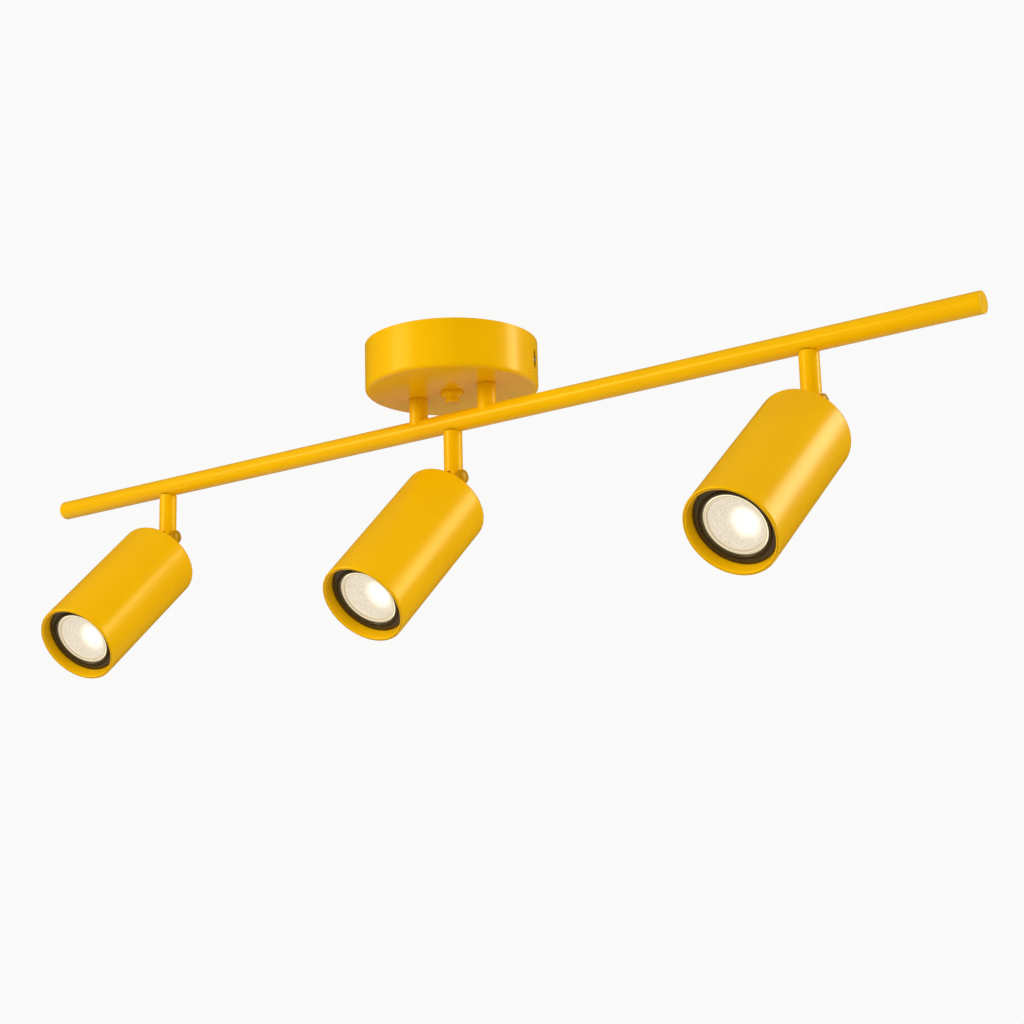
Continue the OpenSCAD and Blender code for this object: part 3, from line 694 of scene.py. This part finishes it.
lamp_white = moulded("lamp_white", (0.85, 0.83, 0.78), 0.35)
lamp_r, base_r, pin_x, pin_r, pin_foot_r = 24.8, 12, 5, 2, 2.5
for side in SIDES:
    place = in_head(side)
    face = mouth + lens_depth
    cover = lathe([(0, face + 0.6), (8, face + 0.7), (14, face + 0.95), (17.5, face + 1.3, 0.3),
                   (17.9, face + 1.7, 0.2), (18.3, face, 0.6), (lens_r, face, 0.8), (lens_r, face + 3.6),
                   (17.8, face + 3.6), (17.4, face + 2.2), (0, face + 1.6)], steps=128)
    make(f"{side}_lens_cover", moved(cover, place), frosted(side), f"{side}_head",
         [f"{side}_lamp_lens"])
    cup = lathe([(0, face + 9.8), (4, face + 9.6), (9, face + 8.2), (14, face + 6.4), (18.0, face + 4.4),
                 (19.8, face + 3.7), (19.8, face + 5.0), (14, face + 8), (0, face + 10.8)], steps=96)
    make(f"{side}_lamp_cup", moved(cup, place), glow(side), f"{side}_head")
    shell = lathe([(20.5, face + 3.6), (lamp_r, face + 3.6, 0.5), (lamp_r, face + 6.6, 1.0),
                   (base_r, face + 44.6, 2), (base_r, face + 52.6, 0.6), (4, face + 52.6),
                   (4, face + 50), (20.5, face + 7.5)], steps=96, closed=True)
    pins = [moved(lathe([(0, face + 52), (pin_r, face + 52), (pin_r, face + 56),
                         (pin_foot_r, face + 56.4, 0.2), (pin_foot_r, face + 58.6, 0.3),
                         (0, face + 58.6)], steps=24), at(x=way * pin_x)) for way in (-1, 1)]
    base = lathe([(0, face + 50.5), (8, face + 50.5), (8, face + 52.2), (0, face + 52.2)], steps=48)
    make(f"{side}_lamp_shell", moved(join(shell, base), place), lamp_white, f"{side}_head",
         [f"{side}_lamp_body"])
    make(f"{side}_lamp_pins", moved(join(*pins), place), brass, f"{side}_head")

# ---------------------------------------------------------------------------------------------
# Lampholders: unglazed ceramic blocks, pressed and fired. Each is held between the legs of a
# plated steel yoke that the two bracket screws clamp to the back of the head.
# ---------------------------------------------------------------------------------------------
ceramic = moulded("unglazed_ceramic", (0.78, 0.76, 0.70), 0.6, 0.4, 0.03)
for side in SIDES:
    from_cad(f"{side}_lampholder", ceramic, f"{side}_head", 0.5)
    from_cad(f"{side}_holder_bracket", zinc, f"{side}_head", 0.2)

# ---------------------------------------------------------------------------------------------
# Studio: a matt painted floor that fades into the pale backdrop, two upright soft boxes, a third
# light that fills the mouths of the heads, and the camera.
# ---------------------------------------------------------------------------------------------
scene = bpy.context.scene
scene.view_settings.view_transform = "Standard"
backdrop = (0.955, 0.950, 0.945)

pale, floor_z, floor_radius = (0.74, 0.737, 0.733), -620, 3500
floor_paint = Finish("floor_paint", pale, 0.9, specular=0.1)
tone = floor_paint.noise(900, 2)
floor_paint.set("Base Color", floor_paint.mix(tone, pale + (1,), (0.71, 0.707, 0.703, 1)))
spread = floor_paint.node("ShaderNodeVectorMath", {"operation": "LENGTH"}, {0: floor_paint.place})
floor_paint.set("Alpha", 1 - Amount(floor_paint, spread.outputs["Value"]).between(1.2, 3.4))
floor_shape = bmesh.new()
bmesh.ops.create_circle(floor_shape, cap_ends=True, segments=96, radius=floor_radius * MM)
moved(floor_shape, at(z=floor_z))
floor_mesh = bpy.data.meshes.new("floor")
floor_shape.to_mesh(floor_mesh)
floor_shape.free()
floor_mesh.materials.append(floor_paint.material)
floor = bpy.data.objects.new("floor", floor_mesh)
scene.collection.objects.link(floor)

camera = bpy.data.objects.new("camera", bpy.data.cameras.new("camera"))
scene.collection.objects.link(camera)
camera.data.sensor_width = 36
camera.data.lens = 70.43
camera.matrix_world = (at(800.3, -1063.0, -440.2) @ turn(radians(35.28), "Z")
                       @ turn(radians(90 + 13.52), "X") @ turn(radians(-1.5), "Z"))
scene.camera = camera


def softbox(name, azimuth, height, distance, width, tall, power):
    """Upright area light aimed at the object; azimuth from +X, lengths in metres, power in watts."""
    lamp = bpy.data.objects.new(name, bpy.data.lights.new(name, "AREA"))
    lamp.data.shape = "RECTANGLE"
    lamp.data.size, lamp.data.size_y, lamp.data.energy = width, tall, power
    lamp.location = (cos(azimuth) * distance, sin(azimuth) * distance, height)
    lamp.rotation_euler = (Vector((0, 0, -0.1)) - lamp.location).to_track_quat("-Z", "Y").to_euler()
    scene.collection.objects.link(lamp)


softbox("softbox_left", radians(-121), 0.3, 2.2, 1.1, 0.8, 20)
softbox("softbox_right", radians(35), 0.45, 2.2, 0.6, 1.5, 27)
softbox("mouth_fill", radians(-70), 0.5, 2.2, 0.9, 0.9, 15)
bpy.data.objects["mouth_fill"].visible_glossy = False

world = bpy.data.worlds.new("studio")
scene.world = world
world.use_nodes = True
sky = Nodes(world.node_tree)
shown = sky.tree.nodes["Background"]
sky.feed(shown.inputs["Color"], backdrop + (1,))
heading = sky.node("ShaderNodeTexCoord")
split = sky.node("ShaderNodeSeparateXYZ", {}, {0: heading.outputs["Generated"]})
steep = sky.read("ShaderNodeMath", 0, {"operation": "ABSOLUTE"}, {0: split.outputs["Z"]})
level = sky.read("ShaderNodeMapRange", 0, {}, {"Value": steep, "From Min": 0.05, "From Max": 0.9,
                                               "To Min": 0.31, "To Max": 0.90})
ray = sky.node("ShaderNodeLightPath")
mirrored = sky.read("ShaderNodeMapRange", 0, {},
                    {"Value": ray.outputs["Is Glossy Ray"], "To Min": 1.0, "To Max": 0.1})
lit = sky.node("ShaderNodeBackground", {}, {"Strength": level * mirrored})
choose = sky.node("ShaderNodeMixShader", {},
                  {0: ray.outputs["Is Camera Ray"], 1: lit.outputs[0], 2: shown.outputs[0]})
sky.feed(sky.tree.nodes["World Output"].inputs[0], choose.outputs[0])
